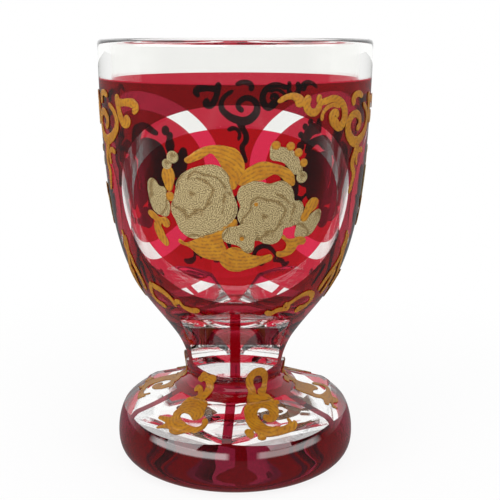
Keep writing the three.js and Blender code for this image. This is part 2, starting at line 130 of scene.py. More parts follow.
def draw(name, points):
    """A mesh line through the points, extruded one step at a time from a single vertex."""
    deselect()
    bpy.ops.mesh.primitive_plane_add(size=0.001, location=(0, 0, 0))
    piece = bpy.context.object
    piece.name = name
    bpy.ops.object.mode_set(mode="EDIT")
    bpy.ops.mesh.merge(type="CENTER")
    places = [Vector(point) * MM for point in points]
    bpy.ops.transform.translate(value=places[0])
    for before, after in zip(places, places[1:]):
        bpy.ops.mesh.extrude_region_move(TRANSFORM_OT_translate={"value": after - before})
    return piece


def edit(piece):
    """Opens one piece in edit mode, with all of it selected."""
    only(piece)
    bpy.ops.object.mode_set(mode="EDIT")
    bpy.ops.mesh.select_all(action="SELECT")


def face_outwards():
    """Turns all faces outwards and leaves edit mode."""
    bpy.ops.mesh.select_all(action="SELECT")
    bpy.ops.mesh.normals_make_consistent(inside=False)
    bpy.ops.object.mode_set(mode="OBJECT")


def close_and_clean():
    bpy.ops.mesh.select_all(action="SELECT")
    bpy.ops.mesh.remove_doubles(threshold=MERGE_GAP)
    face_outwards()


def revolve(name, line):
    """A (radius, height) line, carried once round the axis."""
    piece = draw(name, [(r, 0, z) for r, z in line])
    bpy.ops.mesh.select_all(action="SELECT")
    bpy.ops.mesh.spin(steps=ROUND_STEPS, angle=math.tau, center=(0, 0, 0), axis=(0, 0, 1))
    close_and_clean()
    return piece


def prism(name, section, width, turn):
    """A section of (distance out, height), carried sideways and turned to face its place."""
    piece = draw(name, [(-width / 2, -out, up) for out, up in section])
    bpy.ops.mesh.select_all(action="SELECT")
    bpy.ops.mesh.edge_face_add()
    bpy.ops.mesh.extrude_region_move(TRANSFORM_OT_translate={"value": (width * MM, 0, 0)})
    close_and_clean()
    piece.data.transform(Matrix.Rotation(math.radians(turn), 4, "Z"))
    return piece


def apply_modifier(piece, kind, **settings):
    only(piece)
    modifier = piece.modifiers.new(kind.title(), kind)
    for key, value in settings.items():
        setattr(modifier, key, value)
    bpy.ops.object.modifier_apply(modifier=modifier.name)


# Shader helpers


def node(tree, kind, **settings):
    made = tree.nodes.new(kind)
    for key, value in settings.items():
        setattr(made, key, value)
    return made


def feed(tree, value, socket):
    if isinstance(value, (int, float, tuple)):
        socket.default_value = value
    else:
        tree.links.new(value, socket)


def maths(tree, operation, first, second=0.0, third=0.0):
    made = node(tree, "ShaderNodeMath", operation=operation)
    for value, socket in zip((first, second, third), made.inputs):
        feed(tree, value, socket)
    return made.outputs[0]


def soft_step(tree, value, edge, blur):
    """0 where value is well under the edge and 1 where it is well over."""
    offset = maths(tree, "SUBTRACT", value, edge)
    scaled = maths(tree, "MULTIPLY_ADD", offset, 1 / blur, 0.5)
    made = node(tree, "ShaderNodeClamp")
    tree.links.new(scaled, made.inputs[0])
    return made.outputs[0]


def under_step(tree, value, edge, blur):
    """1 where value is well under the edge and 0 where it is well over."""
    return maths(tree, "SUBTRACT", 1.0, soft_step(tree, value, edge, blur))


def between(tree, value, edges, blur):
    """1 between the two edges and 0 outside them."""
    over = soft_step(tree, value, edges[0], blur)
    return maths(tree, "MULTIPLY", over, under_step(tree, value, edges[1], blur))


def raised_from(tree, low, value):
    """Low where value is 0, and 1 where it is 1."""
    return maths(tree, "MULTIPLY_ADD", value, 1 - low, low)


def parts_of(tree, place):
    apart = node(tree, "ShaderNodeSeparateXYZ")
    tree.links.new(place, apart.inputs[0])
    return apart.outputs


def mix_colour(tree, factor, first, second, blend="MIX"):
    """Blends two colours, given to inputs 6 and 7. The result is output 2."""
    made = node(tree, "ShaderNodeMix", data_type="RGBA", blend_type=blend)
    feed(tree, factor, made.inputs["Factor"])
    feed(tree, first, made.inputs[6])
    feed(tree, second, made.inputs[7])
    return made.outputs[2]


def new_group(name, inputs, outputs):
    tree = bpy.data.node_groups.new(name, "ShaderNodeTree")
    for label, kind, value in inputs:
        socket = tree.interface.new_socket(name=label, in_out="INPUT", socket_type=kind)
        socket.default_value = value
    for label, kind in outputs:
        tree.interface.new_socket(name=label, in_out="OUTPUT", socket_type=kind)
    return tree, node(tree, "NodeGroupInput"), node(tree, "NodeGroupOutput")


def use_group(tree, group, **values):
    made = node(tree, "ShaderNodeGroup", node_tree=group)
    for key, value in values.items():
        feed(tree, value, made.inputs[key])
    return made


def new_material(name):
    material = bpy.data.materials.new(name)
    material.use_nodes = True
    tree = material.node_tree
    shader = tree.nodes["Principled BSDF"]
    return material, tree, shader


# Glass materials


def folded_angle(tree, x, y, share):
    """The angle round the axis from the middle of the nearest of several equal shares."""
    angle = maths(tree, "ARCTAN2", x, maths(tree, "MULTIPLY", y, -1.0))
    turns = maths(tree, "ROUND", maths(tree, "DIVIDE", angle, share))
    return maths(tree, "SUBTRACT", angle, maths(tree, "MULTIPLY", turns, share))


def oval_angle(tree, x, y):
    """The angle round the axis from the middle of the nearest oval."""
    nearest = None
    for turn in OVAL_TURNS:
        sine = math.sin(math.radians(turn))
        cosine = math.cos(math.radians(turn))
        y_forward = maths(tree, "MULTIPLY", y, cosine)
        y_sideways = maths(tree, "MULTIPLY", y, sine)
        along = maths(tree, "SUBTRACT", maths(tree, "MULTIPLY", x, sine), y_forward)
        beside = maths(tree, "ADD", maths(tree, "MULTIPLY", x, cosine), y_sideways)
        angle = maths(tree, "ABSOLUTE", maths(tree, "ARCTAN2", beside, along))
        nearest = angle if nearest is None else maths(tree, "MINIMUM", nearest, angle)
    return nearest


def ellipse_distance(tree, across, up, width, height):
    """Roughly the distance outside an ellipse, less than nothing inside it."""
    near = maths(tree, "POWER", maths(tree, "DIVIDE", across, width), 2.0)
    near = maths(tree, "ADD", near, maths(tree, "POWER", maths(tree, "DIVIDE", up, height), 2.0))
    near = maths(tree, "SQRT", near)
    slope = maths(tree, "POWER", maths(tree, "DIVIDE", across, width ** 2), 2.0)
    other = maths(tree, "POWER", maths(tree, "DIVIDE", up, height ** 2), 2.0)
    slope = maths(tree, "SQRT", maths(tree, "ADD", slope, other))
    over = maths(tree, "MULTIPLY", near, maths(tree, "SUBTRACT", near, 1.0))
    return maths(tree, "DIVIDE", over, maths(tree, "MAXIMUM", slope, 0.001))


# Heights of the ruby left inside a window: a band across it, and the shoulder at its head.
WINDOW_BAND = (44.2, 52.4)
WINDOW_SHOULDER = (56.2, 62.5)
BAR_HALF_WIDTH = 1.85
COLLAR_TOP = 33
# The narrow shelf under the foot panels keeps a share of its ruby.
SHELF_HEIGHT = 18.58
SHELF_SHARE = 0.7
# Below this height the ruby fades into its darkest copy, painted shade, and the foot panels grow
# rough.
FOOT_HEIGHT = 22
FOOT_FADE = 8
EDGE_BLUR = 0.12


def casing_group():
    """Masks of the ruby layer: where it is left on the blown surface and on the ground cuts, which of
    it is the face of an oval, where the ruby is painted lighter as painted light, and how far down
    the foot it lies, where the ruby is painted darker as painted shade and the panels are roughened."""
    masks = [(label, "NodeSocketFloat") for label in ("Blown", "Ground", "Face", "Foot")]
    tree, _, out = new_group("Ruby casing", [], masks)
    x, y, z = parts_of(tree, node(tree, "ShaderNodeTexCoord").outputs["Object"])
    blur = EDGE_BLUR * MM

    across = maths(tree, "MULTIPLY", oval_angle(tree, x, y), OVAL_ARC_RADIUS * MM)
    up = maths(tree, "SUBTRACT", z, OVAL_HEIGHT * MM)
    inner = ellipse_distance(tree, across, up, FACE[0] * MM, FACE[1] * MM)
    frame_size = [(half + FRAME_WIDTH) * MM for half in FACE]
    outer = ellipse_distance(tree, across, up, *frame_size)
    face = under_step(tree, inner, 0.0, blur)
    around = soft_step(tree, outer, 0.0, blur)
    under_band = under_step(tree, z, BAND_HEIGHT * MM, blur)
    blown = maths(tree, "MULTIPLY", maths(tree, "ADD", face, around), under_band)
    tree.links.new(blown, out.inputs["Blown"])
    tree.links.new(face, out.inputs["Face"])

    angle = folded_angle(tree, x, y, math.tau / 3)
    squares = maths(tree, "ADD", maths(tree, "POWER", x, 2.0), maths(tree, "POWER", y, 2.0))
    offset = maths(tree, "MULTIPLY", maths(tree, "SQRT", squares), maths(tree, "SINE", angle))
    bar = under_step(tree, maths(tree, "ABSOLUTE", offset), BAR_HALF_WIDTH * MM, blur)
    shoulder = between(tree, z, [height * MM for height in WINDOW_SHOULDER], blur)
    band = between(tree, z, [height * MM for height in WINDOW_BAND], blur)
    kept = maths(tree, "MAXIMUM", maths(tree, "MAXIMUM", bar, shoulder), band)
    in_window = between(tree, z, (COLLAR_TOP * MM, WINDOW_SHOULDER[1] * MM), blur)
    in_window = maths(tree, "MULTIPLY", kept, in_window)
    shelf = under_step(tree, z, SHELF_HEIGHT * MM, blur / 2)
    shelf = maths(tree, "MULTIPLY", shelf, SHELF_SHARE)
    tree.links.new(maths(tree, "MAXIMUM", in_window, shelf), out.inputs["Ground"])
    foot = under_step(tree, z, FOOT_HEIGHT * MM, FOOT_FADE * MM)
    tree.links.new(foot, out.inputs["Foot"])
    return tree


casing = casing_group()
PANEL_ROUGHNESS = 0.11
CLEAR = (0.99, 0.992, 0.975, 1.0)
# Lit and shaded copies of the one ruby casing. This one is the ruby that the camera sees first on the
# blown surface, made darker as painted shade.
RUBY_PAINTED_SHADE = (0.11, 0.0002, 0.0012, 1.0)
# A still darker copy of the ruby towards the foot, seen by the camera only: painted shade.
RUBY_FOOT_PAINTED_SHADE = (0.04, 0.0001, 0.0009, 1.0)
# A lighter copy of the ruby on the faces of the ovals, seen by the camera only: painted light.
RUBY_FACE_PAINTED_LIGHT = (0.54, 0.0006, 0.006, 1.0)
# A lighter copy of the ruby for rays that come by way of other glass: painted light.
RUBY_THROUGH_GLASS_PAINTED_LIGHT = (0.3, 0.0003, 0.002, 1.0)


def glass_material(name, mask):
    """Glass that is clear where its mask is 0 and ruby where it is 1. The ruby comes in lit and
    shaded copies: ruby that is seen by way of other glass takes a lighter copy, painted light, and
    ruby that the camera sees first takes darker copies, painted shade, with a lighter copy on the
    oval faces, painted light."""
    material, tree, shader = new_material(name)
    shader.inputs["Roughness"].default_value = 0.0
    shader.inputs["IOR"].default_value = 1.5
    shader.inputs["Transmission Weight"].default_value = 1.0
    if mask is None:
        shader.inputs["Base Color"].default_value = CLEAR
        return material
    group = use_group(tree, casing)
    path = node(tree, "ShaderNodeLightPath")
    # On the oval faces the camera sees a lighter ruby, painted light; elsewhere a darker one, painted
    # shade.
    first = mix_colour(tree, group.outputs["Face"], RUBY_PAINTED_SHADE, RUBY_FACE_PAINTED_LIGHT)
    # Towards the foot the camera sees the darkest ruby: painted shade.
    first = mix_colour(tree, group.outputs["Foot"], first, RUBY_FOOT_PAINTED_SHADE)
    # The camera sees the darker copies first; rays by way of other glass get the lighter copy, as
    # painted light.
    ruby = mix_colour(tree, path.outputs["Is Camera Ray"], RUBY_THROUGH_GLASS_PAINTED_LIGHT, first)
    colour = mix_colour(tree, group.outputs[mask], CLEAR, ruby)
    tree.links.new(colour, shader.inputs["Base Color"])
    if mask == "Ground":
        softness = maths(tree, "MULTIPLY", group.outputs["Foot"], PANEL_ROUGHNESS)
        tree.links.new(softness, shader.inputs["Roughness"])
    return material


GLASSES = (
    glass_material("clear_glass", None),
    glass_material("cased_glass", "Blown"),
    glass_material("ground_glass", "Ground"),
)
CLEAR_SLOT, CASED_SLOT, GROUND_SLOT = range(3)


# The glass: one revolved piece, with frames, windows and panels ground into it

LIP_DEPTH = 1.7
GROOVE = (29.5, 31.2)
hollow_line = curve_points([(0, 2.4), (8, 2.4), (17, 1.2), (25, 0)], 2.5)
rest_line = [(25, 0), (28, 0), (31, 0), (34, 0), (36.5, 0)]
wall_top = [(r, z) for r, z in bowl_line if z < RIM_HEIGHT - LIP_DEPTH]
lip_outer = curve_points([(46.9, 148.3), (46.9, 149.4), (46.1, 150), (44.9, 150)], 0.4)
lip_inner = curve_points([(44.6, 150), (43.4, 150), (42.6, 149.4), (42.6, 148.3)], 0.4)
cavity_line = curve_points([(42.6, 148.3), (42.6, 72), (30, 53), (0, 53)], 3)
under_groove = [(r, z) for r, z in foot_line if z < GROOVE[0]]
over_groove = [(r, z) for r, z in stem_line if z > GROOVE[1]]
glass_line = join_lines(hollow_line, rest_line, under_groove)
glass_line += groove_line + over_groove + wall_top[1:]
glass_line += lip_outer + lip_inner + cavity_line[1:]

goblet = revolve("goblet_glass", glass_line)
for material in GLASSES:
    goblet.data.materials.append(material)


def outer_radius(height):
    return radius_on(outer_line, height)


CUTTER_CLEARANCE = 3
CUTTER_REACH = 70
CUTTER_WIDTH = 90


def frame_cutter(turn):
    """A ring drawn flat by reach, 1 at the face's edge and 2 at the frame's, bent onto the bowl."""
    bottom = [(1 + step / 4, -FRAME_DEPTH) for step in range(5)]
    top = [(reach, CUTTER_CLEARANCE) for reach in (2, 1.5, 1)]
    ring = draw("frame_cutter", [(reach, 0, lift) for reach, lift in bottom + top])
    bpy.ops.mesh.select_all(action="SELECT")
    bpy.ops.mesh.edge_face_add()
    bpy.ops.mesh.spin(steps=OVAL_STEPS, angle=math.tau, center=(0, 0, 0), axis=(0, 0, 1))
    close_and_clean()
    for vertex in ring.data.vertices:
        place = vertex.co / MM
        reach = math.hypot(place.x, place.y)
        out = (reach - 1) * FRAME_WIDTH
        across = (FACE[0] + out) * place.x / reach
        height = OVAL_HEIGHT + (FACE[1] + out) * place.y / reach
        angle = math.radians(turn) + across / OVAL_ARC_RADIUS
        radius = outer_radius(height) + place.z
        vertex.co = Vector((radius * math.sin(angle), -radius * math.cos(angle), height)) * MM
    edit(ring)
    close_and_clean()
    return ring


for face in goblet.data.polygons:
    out = math.hypot(face.center.x, face.center.y) / MM
    height = face.center.z / MM
    on_outside = height > 0.05 and out > outer_radius(height) - 1
    cased = on_outside and height < RIM_HEIGHT - 2
    face.material_index = CASED_SLOT if cased else CLEAR_SLOT


def grind(cutter):
    """Takes a cutter out of the goblet. The faces that it leaves are ground glass."""
    for material in GLASSES:
        cutter.data.materials.append(material)
    for face in cutter.data.polygons:
        face.material_index = GROUND_SLOT
    apply_modifier(goblet, "BOOLEAN", operation="DIFFERENCE", solver="MANIFOLD", object=cutter)
    bpy.data.objects.remove(cutter)


for turn in OVAL_TURNS:
    grind(frame_cutter(turn))

WINDOW_SILL = (17.35, 33.7)
WINDOW_CURVE = [(10.6, 36.5), (10.6, 42.7), (17, 50), (22.3, 56.4)]
WINDOW_HEAD = [(33.1, 61.8), (CUTTER_REACH, 80.2)]
window = [(CUTTER_REACH, 32.7), WINDOW_SILL] + curve_points(WINDOW_CURVE, 0.8) + WINDOW_HEAD
for turn in TURNS:
    grind(prism("window_cutter", window, CUTTER_WIDTH, turn))

RIB = 3.2
PANEL_TOP = 26
PANEL_SHELF = 18.2
SHELF_EXIT = 52
SHELF_SLOPE = 0.12
panel = [
    (r * math.cos(math.pi / 6) + RIB / 4, z)
    for r, z in foot_line if PANEL_SHELF < z < PANEL_TOP
]
shelf_end = (SHELF_EXIT, PANEL_SHELF - (SHELF_EXIT - panel[0][0]) * SHELF_SLOPE)
above_panel = [(CUTTER_REACH, shelf_end[1]), (CUTTER_REACH, PANEL_TOP), (panel[-1][0], PANEL_TOP)]
for turn in PANEL_TURNS:
    section = [shelf_end] + above_panel + panel[::-1]
    grind(prism("panel_cutter", section, CUTTER_WIDTH, turn))

only(goblet)
bpy.ops.object.shade_smooth_by_angle(angle=GLASS_SMOOTHING)
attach(goblet, "root")
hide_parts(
    "bowl", "stem", "foot", "bowl_ruby", "stem_ruby", "foot_ruby",
    "oval_1_ruby", "oval_2_ruby", "oval_3_ruby",
)


# Enamel finishes. Each piece carries its drawing in the attribute "drawn": how far across and up
# from the middle of its brushwork, in millimetres, and how far down its rounded rim.


def drawn_place(tree):
    return node(tree, "ShaderNodeAttribute", attribute_name="drawn").outputs["Vector"]


def noise(tree, place, scale, detail):
    made = node(tree, "ShaderNodeTexNoise")
    tree.links.new(place, made.inputs["Vector"])
    feed(tree, scale, made.inputs["Scale"])
    made.inputs["Detail"].default_value = detail
    return made.outputs["Fac"]


def rings(tree, place, scale, wander, detail_scale):
    """Rows that run round the middle of a drawing and wander off their circles."""
    made = node(tree, "ShaderNodeTexWave", wave_type="RINGS", rings_direction="Z")
    tree.links.new(place, made.inputs["Vector"])
    feed(tree, scale, made.inputs["Scale"])
    feed(tree, wander, made.inputs["Distortion"])
    made.inputs["Detail"].default_value = 2.0
    made.inputs["Detail Scale"].default_value = detail_scale
    return made.outputs["Fac"]


STIPPLE = 1.3
ROW_DETAIL = 0.35
FOLD_ROWS = 0.05
FOLD_WANDER = 5.0
FOLD_DETAIL = 2.6


def brushwork_group():
    """Fine rows of brush marks, broken up into stipples, with the broad folds and the rounded rim."""
    tree, given, out = new_group(
        "Brush rows",
        [
            ("Rows", "NodeSocketFloat", 0.4), ("Wander", "NodeSocketFloat", 2.0),
            ("Speck", "NodeSocketFloat", 2.0), ("Streak", "NodeSocketFloat", 0.2),
        ],
        [("Marks", "NodeSocketFloat"), ("Folds", "NodeSocketFloat"), ("Rim", "NodeSocketFloat")],
    )
    place = drawn_place(tree)
    rows = rings(tree, place, given.outputs["Rows"], given.outputs["Wander"], ROW_DETAIL)
    specks = noise(tree, place, given.outputs["Speck"], detail=1.0)
    stipple = maths(tree, "SUBTRACT", STIPPLE, given.outputs["Streak"])
    specked = maths(tree, "MULTIPLY", specks, stipple)
    marks = maths(tree, "MULTIPLY_ADD", rows, given.outputs["Streak"], specked)
    tree.links.new(marks, out.inputs["Marks"])
    folds = rings(tree, place, FOLD_ROWS, FOLD_WANDER, FOLD_DETAIL)
    tree.links.new(folds, out.inputs["Folds"])
    tree.links.new(parts_of(tree, place)[2], out.inputs["Rim"])
    return tree


brush_rows = brushwork_group()


def dress(tree, shader, colour, marks, roughness, depth):
    """Gives an enamel its colour, its satin sheen and the fine relief of its brush marks."""
    relief = node(tree, "ShaderNodeBump")
    relief.inputs["Strength"].default_value = 1.0
    relief.inputs["Distance"].default_value = depth * MM
    tree.links.new(marks, relief.inputs["Height"])
    tree.links.new(relief.outputs["Normal"], shader.inputs["Normal"])
    tree.links.new(colour, shader.inputs["Base Color"])
    shader.inputs["Roughness"].default_value = roughness
    shader.inputs["Specular IOR Level"].default_value = 0.3


GREY_BETWEEN = (0.14, 0.095, 0.035, 1)
GREY_MARK = (0.52, 0.41, 0.2, 1)
GREY_FOLD = (0.6, 0.5, 0.36, 1)
GREY_RIM = (0.3, 0.21, 0.08, 1)
GOLD_DEEP = (0.36, 0.12, 0.004, 1)
GOLD_LIGHT = (0.52, 0.24, 0.01, 1)
GOLD_VEIN = (0.2, 0.085, 0.012, 1)
GOLD_RIM = (0.17, 0.08, 0.015, 1)
PLAIN = (1, 1, 1, 1)
GREY_RIM_SHARE = 0.75
GOLD_RIM_SHARE = 0.8
VEIN_SHARE = 0.7


def grey_finish():
    material, tree, shader = new_material("grey_enamel")
    brushed = use_group(tree, brush_rows, Rows=0.5, Wander=5.0, Speck=2.8, Streak=0.13)
    marks = brushed.outputs["Marks"]
    light = soft_step(tree, marks, edge=0.645, blur=0.3)
    colour = mix_colour(tree, light, GREY_BETWEEN, GREY_MARK)
    shade = soft_step(tree, brushed.outputs["Folds"], edge=0.07, blur=0.14)
    folded = mix_colour(tree, shade, GREY_FOLD, PLAIN)
    colour = mix_colour(tree, 1.0, colour, folded, "MULTIPLY")
    rim = maths(tree, "MULTIPLY", brushed.outputs["Rim"], GREY_RIM_SHARE)
    colour = mix_colour(tree, rim, colour, GREY_RIM)
    dress(tree, shader, colour, marks, roughness=0.5, depth=0.12)
    return material


def gold_finish():
    material, tree, shader = new_material("gold_enamel")
    brushed = use_group(tree, brush_rows, Rows=0.26, Wander=4.0, Speck=1.0, Streak=0.36)
    marks = brushed.outputs["Marks"]
    cloud = noise(tree, drawn_place(tree), scale=0.25, detail=3.0)
    cloud = soft_step(tree, cloud, edge=0.5, blur=0.5)
    colour = mix_colour(tree, cloud, GOLD_DEEP, GOLD_LIGHT)
    veins = under_step(tree, marks, edge=0.52, blur=0.26)
    veins = maths(tree, "MULTIPLY", veins, VEIN_SHARE)
    colour = mix_colour(tree, veins, colour, GOLD_VEIN)
    rim = maths(tree, "MULTIPLY", brushed.outputs["Rim"], GOLD_RIM_SHARE)
    colour = mix_colour(tree, rim, colour, GOLD_RIM)
    dress(tree, shader, colour, marks, roughness=0.38, depth=0.05)
    return material


GREY = grey_finish()
GOLD = gold_finish()


# Enamel drawings, in millimetres


def petal(spots, middle=None, finish=GOLD, lift=0.0):
    """A closed outline. Middle is where its brush rows run round."""
    if middle is None:
        middle = (sum(x for x, y in spots) / len(spots), sum(y for x, y in spots) / len(spots))
    return {"outline": spots, "middle": middle, "finish": finish, "lift": lift}


def dot(x, y, size, finish=GOLD, lift=0.0):
    angles = [math.tau * step / 8 for step in range(8)]
    spots = [(x + size * math.cos(angle), y + size * math.sin(angle)) for angle in angles]
    return petal(spots, (x, y), finish, lift)


# Strokes are laid a little wider than the widths in the drawings, with blunt points.
BRUSH = 1.15
POINT = 0.8


def stroke(spots, widths, finish=GOLD, lift=0.0):
    """A brush stroke along a line of spots. Widths run from its start to its end."""
    left = []
    right = []
    count = len(spots)
    for index, (x, y) in enumerate(spots):
        before = Vector(spots[max(index - 1, 0)])
        after = Vector(spots[min(index + 1, count - 1)])
        along = (after - before).normalized()
        share = index / (count - 1) * (len(widths) - 1)
        low = min(int(share), len(widths) - 2)
        half = (widths[low] + (widths[low + 1] - widths[low]) * (share - low)) / 2 * BRUSH
        left.append((x - along.y * half, y + along.x * half))
        right.append((x + along.y * half, y - along.x * half))
        if index == 0:
            start = (x - along.x * half * POINT, y - along.y * half * POINT)
        if index == count - 1:
            end = (x + along.x * half * POINT, y + along.y * half * POINT)
    middle = spots[count // 2]
    return petal([start] + right + [end] + left[::-1], middle, finish, lift)


BOUQUET = {
    "left_flower": [
        petal(
            [(-20.6, 98.1), (-19.1, 103.2), (-17.4, 108.4), (-14.6, 110.8), (-9.6, 112.6),
             (-6.5, 112.9), (-3.5, 111.7), (-1.7, 109.3), (-1.1, 105.2), (0.5, 98.2), (-3, 93.3),
             (-9, 90.4), (-13.4, 89.2), (-17.2, 90.8), (-19.4, 95)],
            (-13.5, 103), GREY,
        ),
        dot(-13.4, 103.2, 1.25, GREY, 0.1),
        petal(
            [(-15.5, 109), (-11.2, 111.6), (-6.6, 112.3), (-3.9, 111.2), (-2.3, 108.8),
             (-2.2, 104.6), (-3.6, 106.6), (-5.4, 108.8), (-9, 109.6)],
            (-10, 104), GREY, 0.14,
        ),
        petal(
            [(-3.6, 104), (-1.7, 103.4), (-0.3, 98.3), (-3, 94.2), (-7.5, 92.4), (-4.8, 95.4),
             (-3.4, 99)],
            (-10, 101), GREY, 0.14,
        ),
    ],
    "right_flower": [
        petal(
            [(0.7, 103.3), (2, 106.4), (5, 107.7), (7.8, 107.6), (10.2, 106.9), (14.6, 107.6),
             (16.9, 106.2), (18.4, 103.2), (18.8, 101.2), (21.1, 100.7), (22.2, 97.6), (21, 94.1),
             (18.1, 92.8), (15.8, 92.3), (15.2, 89.7), (13.4, 87.8), (9.9, 87.7), (7.7, 88.8),
             (6.1, 89), (3.4, 92.4), (0.8, 96.5), (1.6, 100)],
            (9, 96), GREY,
        ),
        petal(
            [(6.1, 88.4), (5.5, 85.2), (3.8, 84.8), (1.4, 87), (-4, 89.6), (-3, 92.6), (0.5, 93.6),
             (4.4, 94.4), (6.6, 91.6)],
            (2, 89.5), GREY, 0.16,
        ),
        petal(
            [(11, 106.2), (14.6, 107), (16.5, 105.6), (17.9, 102.8), (18, 100.6), (15, 101.4),
             (12.6, 103.6)],
            (10, 98), GREY, 0.14,
        ),
        petal(
            [(16, 100.4), (20.8, 100.1), (21.6, 97.6), (20.6, 94.7), (17.8, 93.6), (18, 97)],
            (12, 97), GREY, 0.12,
        ),
        dot(2.1, 89.5, 0.55, GOLD, 0.3),
        dot(6.4, 100.6, 0.5, GOLD, 0.2),
    ],
    "upper_left_leaf": [
        petal(
            [(-15.2, 113.9), (-13.3, 115.8), (-10.5, 117.7), (-7.7, 118.7), (-5, 118.9),
             (-2, 118.5), (0.4, 117.6), (2.2, 114.8), (2.6, 111.1), (1, 108), (-0.8, 105.5),
             (-1.4, 106.4), (-2, 109.9), (-3.8, 112.3), (-5.4, 115.1), (-7.1, 116.6), (-9, 115.6),
             (-11.4, 114.3)],
            (-7, 106),
        ),
    ],
    "upper_right_leaf": [
        petal(
            [(1, 107.1), (2.5, 110.8), (4.9, 112.6), (8, 113.8), (11.7, 113.1), (14.8, 112),
             (17.4, 110.3), (18.4, 107.7), (18.1, 106.1), (15.6, 107.3), (14, 108.9), (12.1, 110),
             (10.2, 109.4), (8.4, 108.4), (5, 107.9), (2.3, 106.7)],
            (10, 98),
        ),
    ],
    "lower_leaves": [
        petal(
            [(-18.9, 88.3), (-16.6, 87.5), (-14, 88.4), (-10.8, 90), (-6.8, 91.2), (-4.5, 92.9),
             (-1.1, 94.9), (-0.2, 95.9), (0.5, 94.3), (-3, 91.6), (-4, 88.9), (-3, 85.6),
             (-4.6, 82.5), (-8.1, 82.4), (-11.9, 83.5), (-15.1, 86)],
            (-9, 102),
        ),
        petal(
            [(-5.2, 82.5), (-3.3, 85.3), (-0.8, 86.6), (2, 86), (4.8, 84.2), (8.3, 83.4),
             (12.5, 83.1), (8.4, 80.6), (3.6, 79.1), (0.4, 78.4), (-3.1, 79.4)],
            (3, 98), GOLD, 0.1,
        ),
    ],
    "left_spray": [
        dot(-19.2, 114.9, 1.8, GREY),
        dot(-21.2, 112.6, 1.5, GREY, 0.1),
        petal(
            [(-21, 112), (-18.9, 109.8), (-19.3, 107), (-20.9, 104.2), (-22.6, 106.8),
             (-23.1, 109.6)],
            (-34, 107),
        ),
        dot(-20.8, 102.4, 1.4),
        petal(
            [(-29, 105), (-28.3, 107.1), (-26.9, 107.6), (-25.6, 106.7), (-24.7, 105.5),
             (-22.4, 104.8), (-22.1, 101.6), (-21.2, 100.1), (-21.2, 98.1), (-22.3, 96),
             (-24.4, 95.9), (-27, 97), (-28.2, 99.1), (-28.9, 102.1)],
            (-18, 96), GREY,
        ),
        petal(
            [(-29.8, 96.5), (-28.7, 97.1), (-27, 96.3), (-25.4, 95.2), (-23, 95.3), (-21.7, 93.7),
             (-22.4, 92.3), (-23.8, 92.4), (-24.8, 93.3), (-24.2, 90), (-23.3, 86), (-25.7, 87),
             (-27.3, 89.5), (-27.9, 92.5), (-27.4, 93.9), (-28.9, 95)],
            (-38, 88), GOLD, 0.1,
        ),
    ],
    "upper_right_spray": [
        petal(
            [(10.4, 116.5), (11, 119), (13.2, 118.3), (15, 117.9), (16.3, 117.5), (18.2, 116.2),
             (19.8, 113.6), (20.8, 111.6), (20.6, 110.1), (18.4, 109.6), (16.4, 111.6),
             (14.8, 113.3), (13, 114), (10.7, 114.7)],
            (9, 108), GREY,
        ),
        dot(12, 118.8, 1.25, GOLD, 0.12),
        dot(16.6, 118.3, 1.25, GOLD, 0.12),
        dot(19.2, 116.3, 1.25, GOLD, 0.12),
        dot(21.2, 113, 1.2, GOLD, 0.12),
        dot(20.9, 108.5, 1.75, GREY),
    ],
    "right_spray": [
        petal(
            [(21, 94.4), (23.9, 94.8), (25.9, 96.5), (28.6, 97.4), (29.4, 95.6), (28.1, 92.1),
             (26.2, 89.7), (23.2, 88.8), (20.4, 89), (20.2, 91.8)],
            (18, 88), GREY,
        ),
        petal(
            [(21.7, 94.7), (22.6, 97.9), (24.1, 100.7), (25.7, 101.5), (27.5, 100.6), (27.2, 98.6),
             (24.9, 96.6), (23.3, 94.2)],
            (14, 104), GOLD, 0.14,
        ),
        petal(
            [(15.5, 90), (17.2, 88.8), (19.5, 88.6), (21.1, 89.1), (24.2, 87.9), (23.9, 86.6),
             (21.5, 86.3), (20.3, 84.4), (18.4, 83.2), (13.8, 84), (16.7, 85.1), (17.2, 87.1)],
            (20, 100), GOLD, 0.12,
        ),
    ],
}

